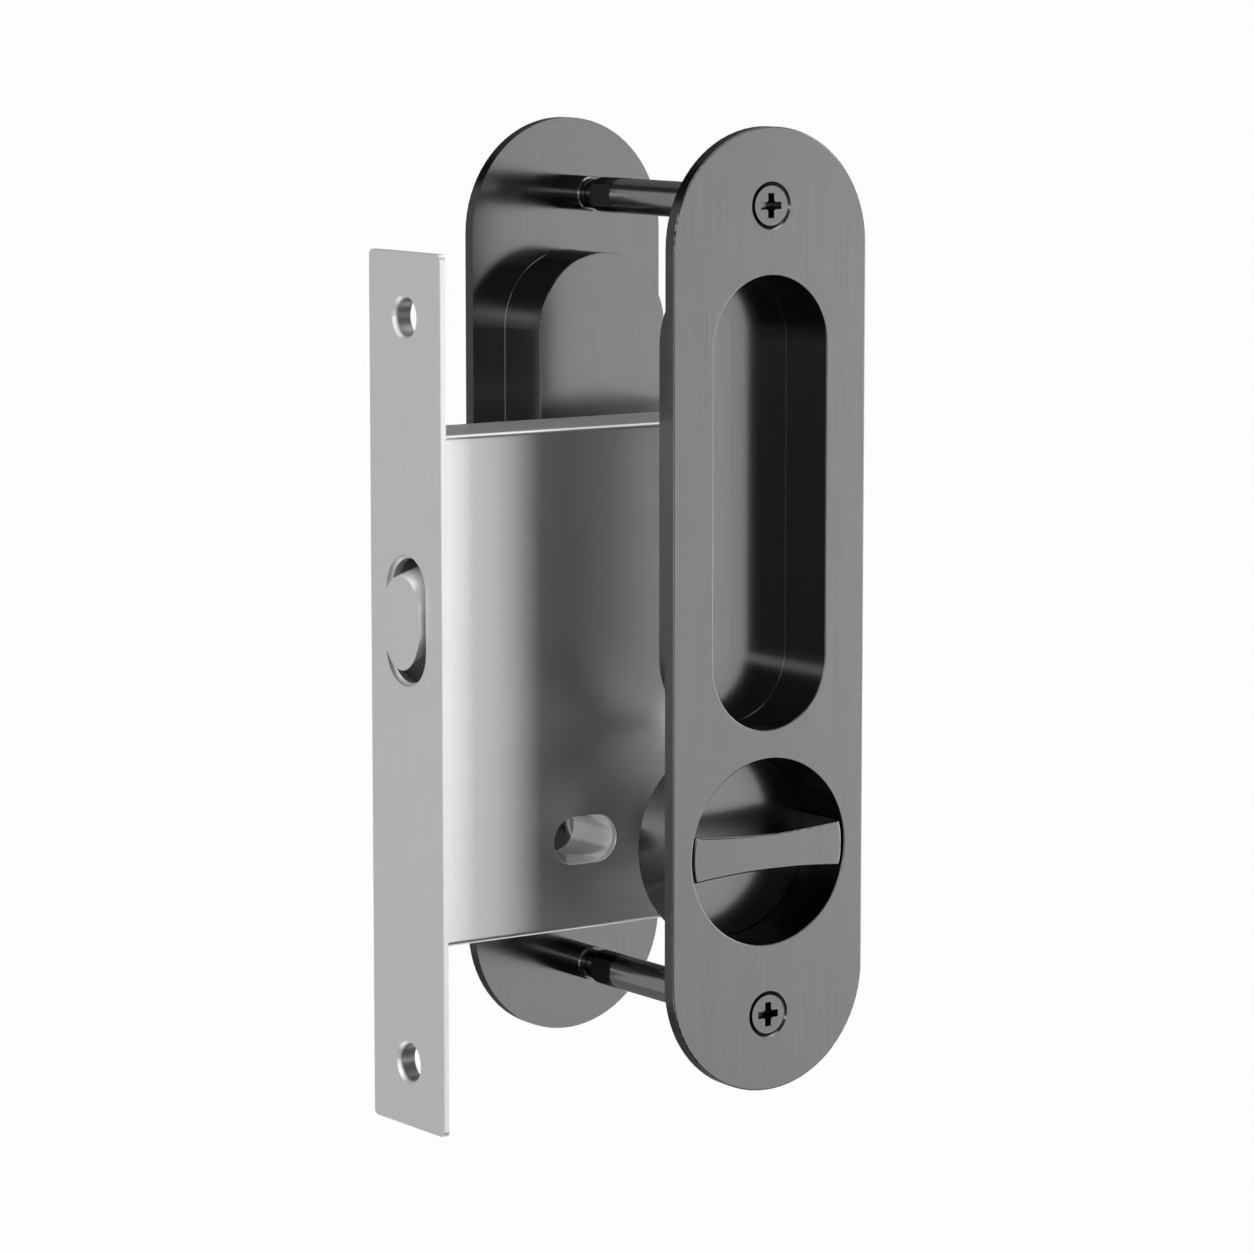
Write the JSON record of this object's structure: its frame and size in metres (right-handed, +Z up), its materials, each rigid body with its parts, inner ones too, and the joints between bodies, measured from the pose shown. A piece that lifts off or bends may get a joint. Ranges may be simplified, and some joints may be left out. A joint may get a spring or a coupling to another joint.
{
  "type": "oval flush pull lock set for a sliding door",
  "caption": "Pair of oval flush pulls with a thumb turn, through posts and a lock case whose hook bolt swings out of the door edge.",
  "frame": {"origin": "on the forend's back face, midway between the centres of its two screw holes", "axes": "+X from the door's edge into the door, -Y to the room side with the thumb turn, +Z up along the plates"},
  "size_m": [0.0741, 0.0632, 0.1698],
  "materials": {
    "gunmetal": "vertically brushed dark grey metal",
    "screw_metal": "fine ground dark grey metal",
    "black_steel": "glossy black oxide",
    "satin_steel": "fine satin",
    "case_steel": "horizontally brushed sheet steel",
    "zinc_steel": "bright zinc plated",
    "sintered_steel": "sintered, matt",
    "spring_steel": "blued strip",
    "nylon": "moulded nylon"
  },
  "bodies": {
    "fixed_set": {"front_plate": "gunmetal", "rear_plate": "gunmetal", "front_screws": "screw_metal", "upper_sleeve": "black_steel", "lower_sleeve": "black_steel", "joining_studs": "black_steel", "rear_bosses": "black_steel", "forend": "satin_steel", "case_body": "case_steel", "case_cover": "case_steel", "slot_bush": "case_steel", "cover_pillars": "zinc_steel", "cover_screws": "zinc_steel", "slide_pins": "zinc_steel", "slide_clips": "spring_steel", "hook_pivot_pin": "zinc_steel", "detent_spring": "spring_steel", "turn_washer": "nylon", "release_washer": "nylon"},
    "turn_group": {"thumb_turn": "gunmetal", "release_turn": "gunmetal", "turn_spindle": "zinc_steel", "turn_circlip": "spring_steel", "release_circlip": "spring_steel", "follower": "sintered_steel", "follower_pin": "zinc_steel"},
    "slide_group": {"driver_slide": "zinc_steel"},
    "hook_group": {"hook_bolt": "satin_steel", "hook_drive_pin": "zinc_steel"}
  },
  "joints": [
    {"name": "thumb_turn_spin", "type": "hinge", "parent": "fixed_set", "child": "turn_group", "pos_m": [0.0518, 0, -0.0279], "axis": [0, -1, 0], "range_deg": [0, 90]},
    {"name": "slide_travel", "type": "slide", "parent": "fixed_set", "child": "slide_group", "axis": [-1, 0, 0], "range_m": [0, 0.01193]},
    {"name": "hook_swing", "type": "hinge", "parent": "fixed_set", "child": "hook_group", "pos_m": [0.0105, 0, -0.0124], "axis": [0, -1, 0], "range_deg": [0, 40]}
  ],
  "couplings": [
    {"joint": "slide_travel", "follows": "thumb_turn_spin", "m_per_rad": 0.0075898},
    {"joint": "hook_swing", "follows": "thumb_turn_spin", "ratio": 0.44444}
  ]
}
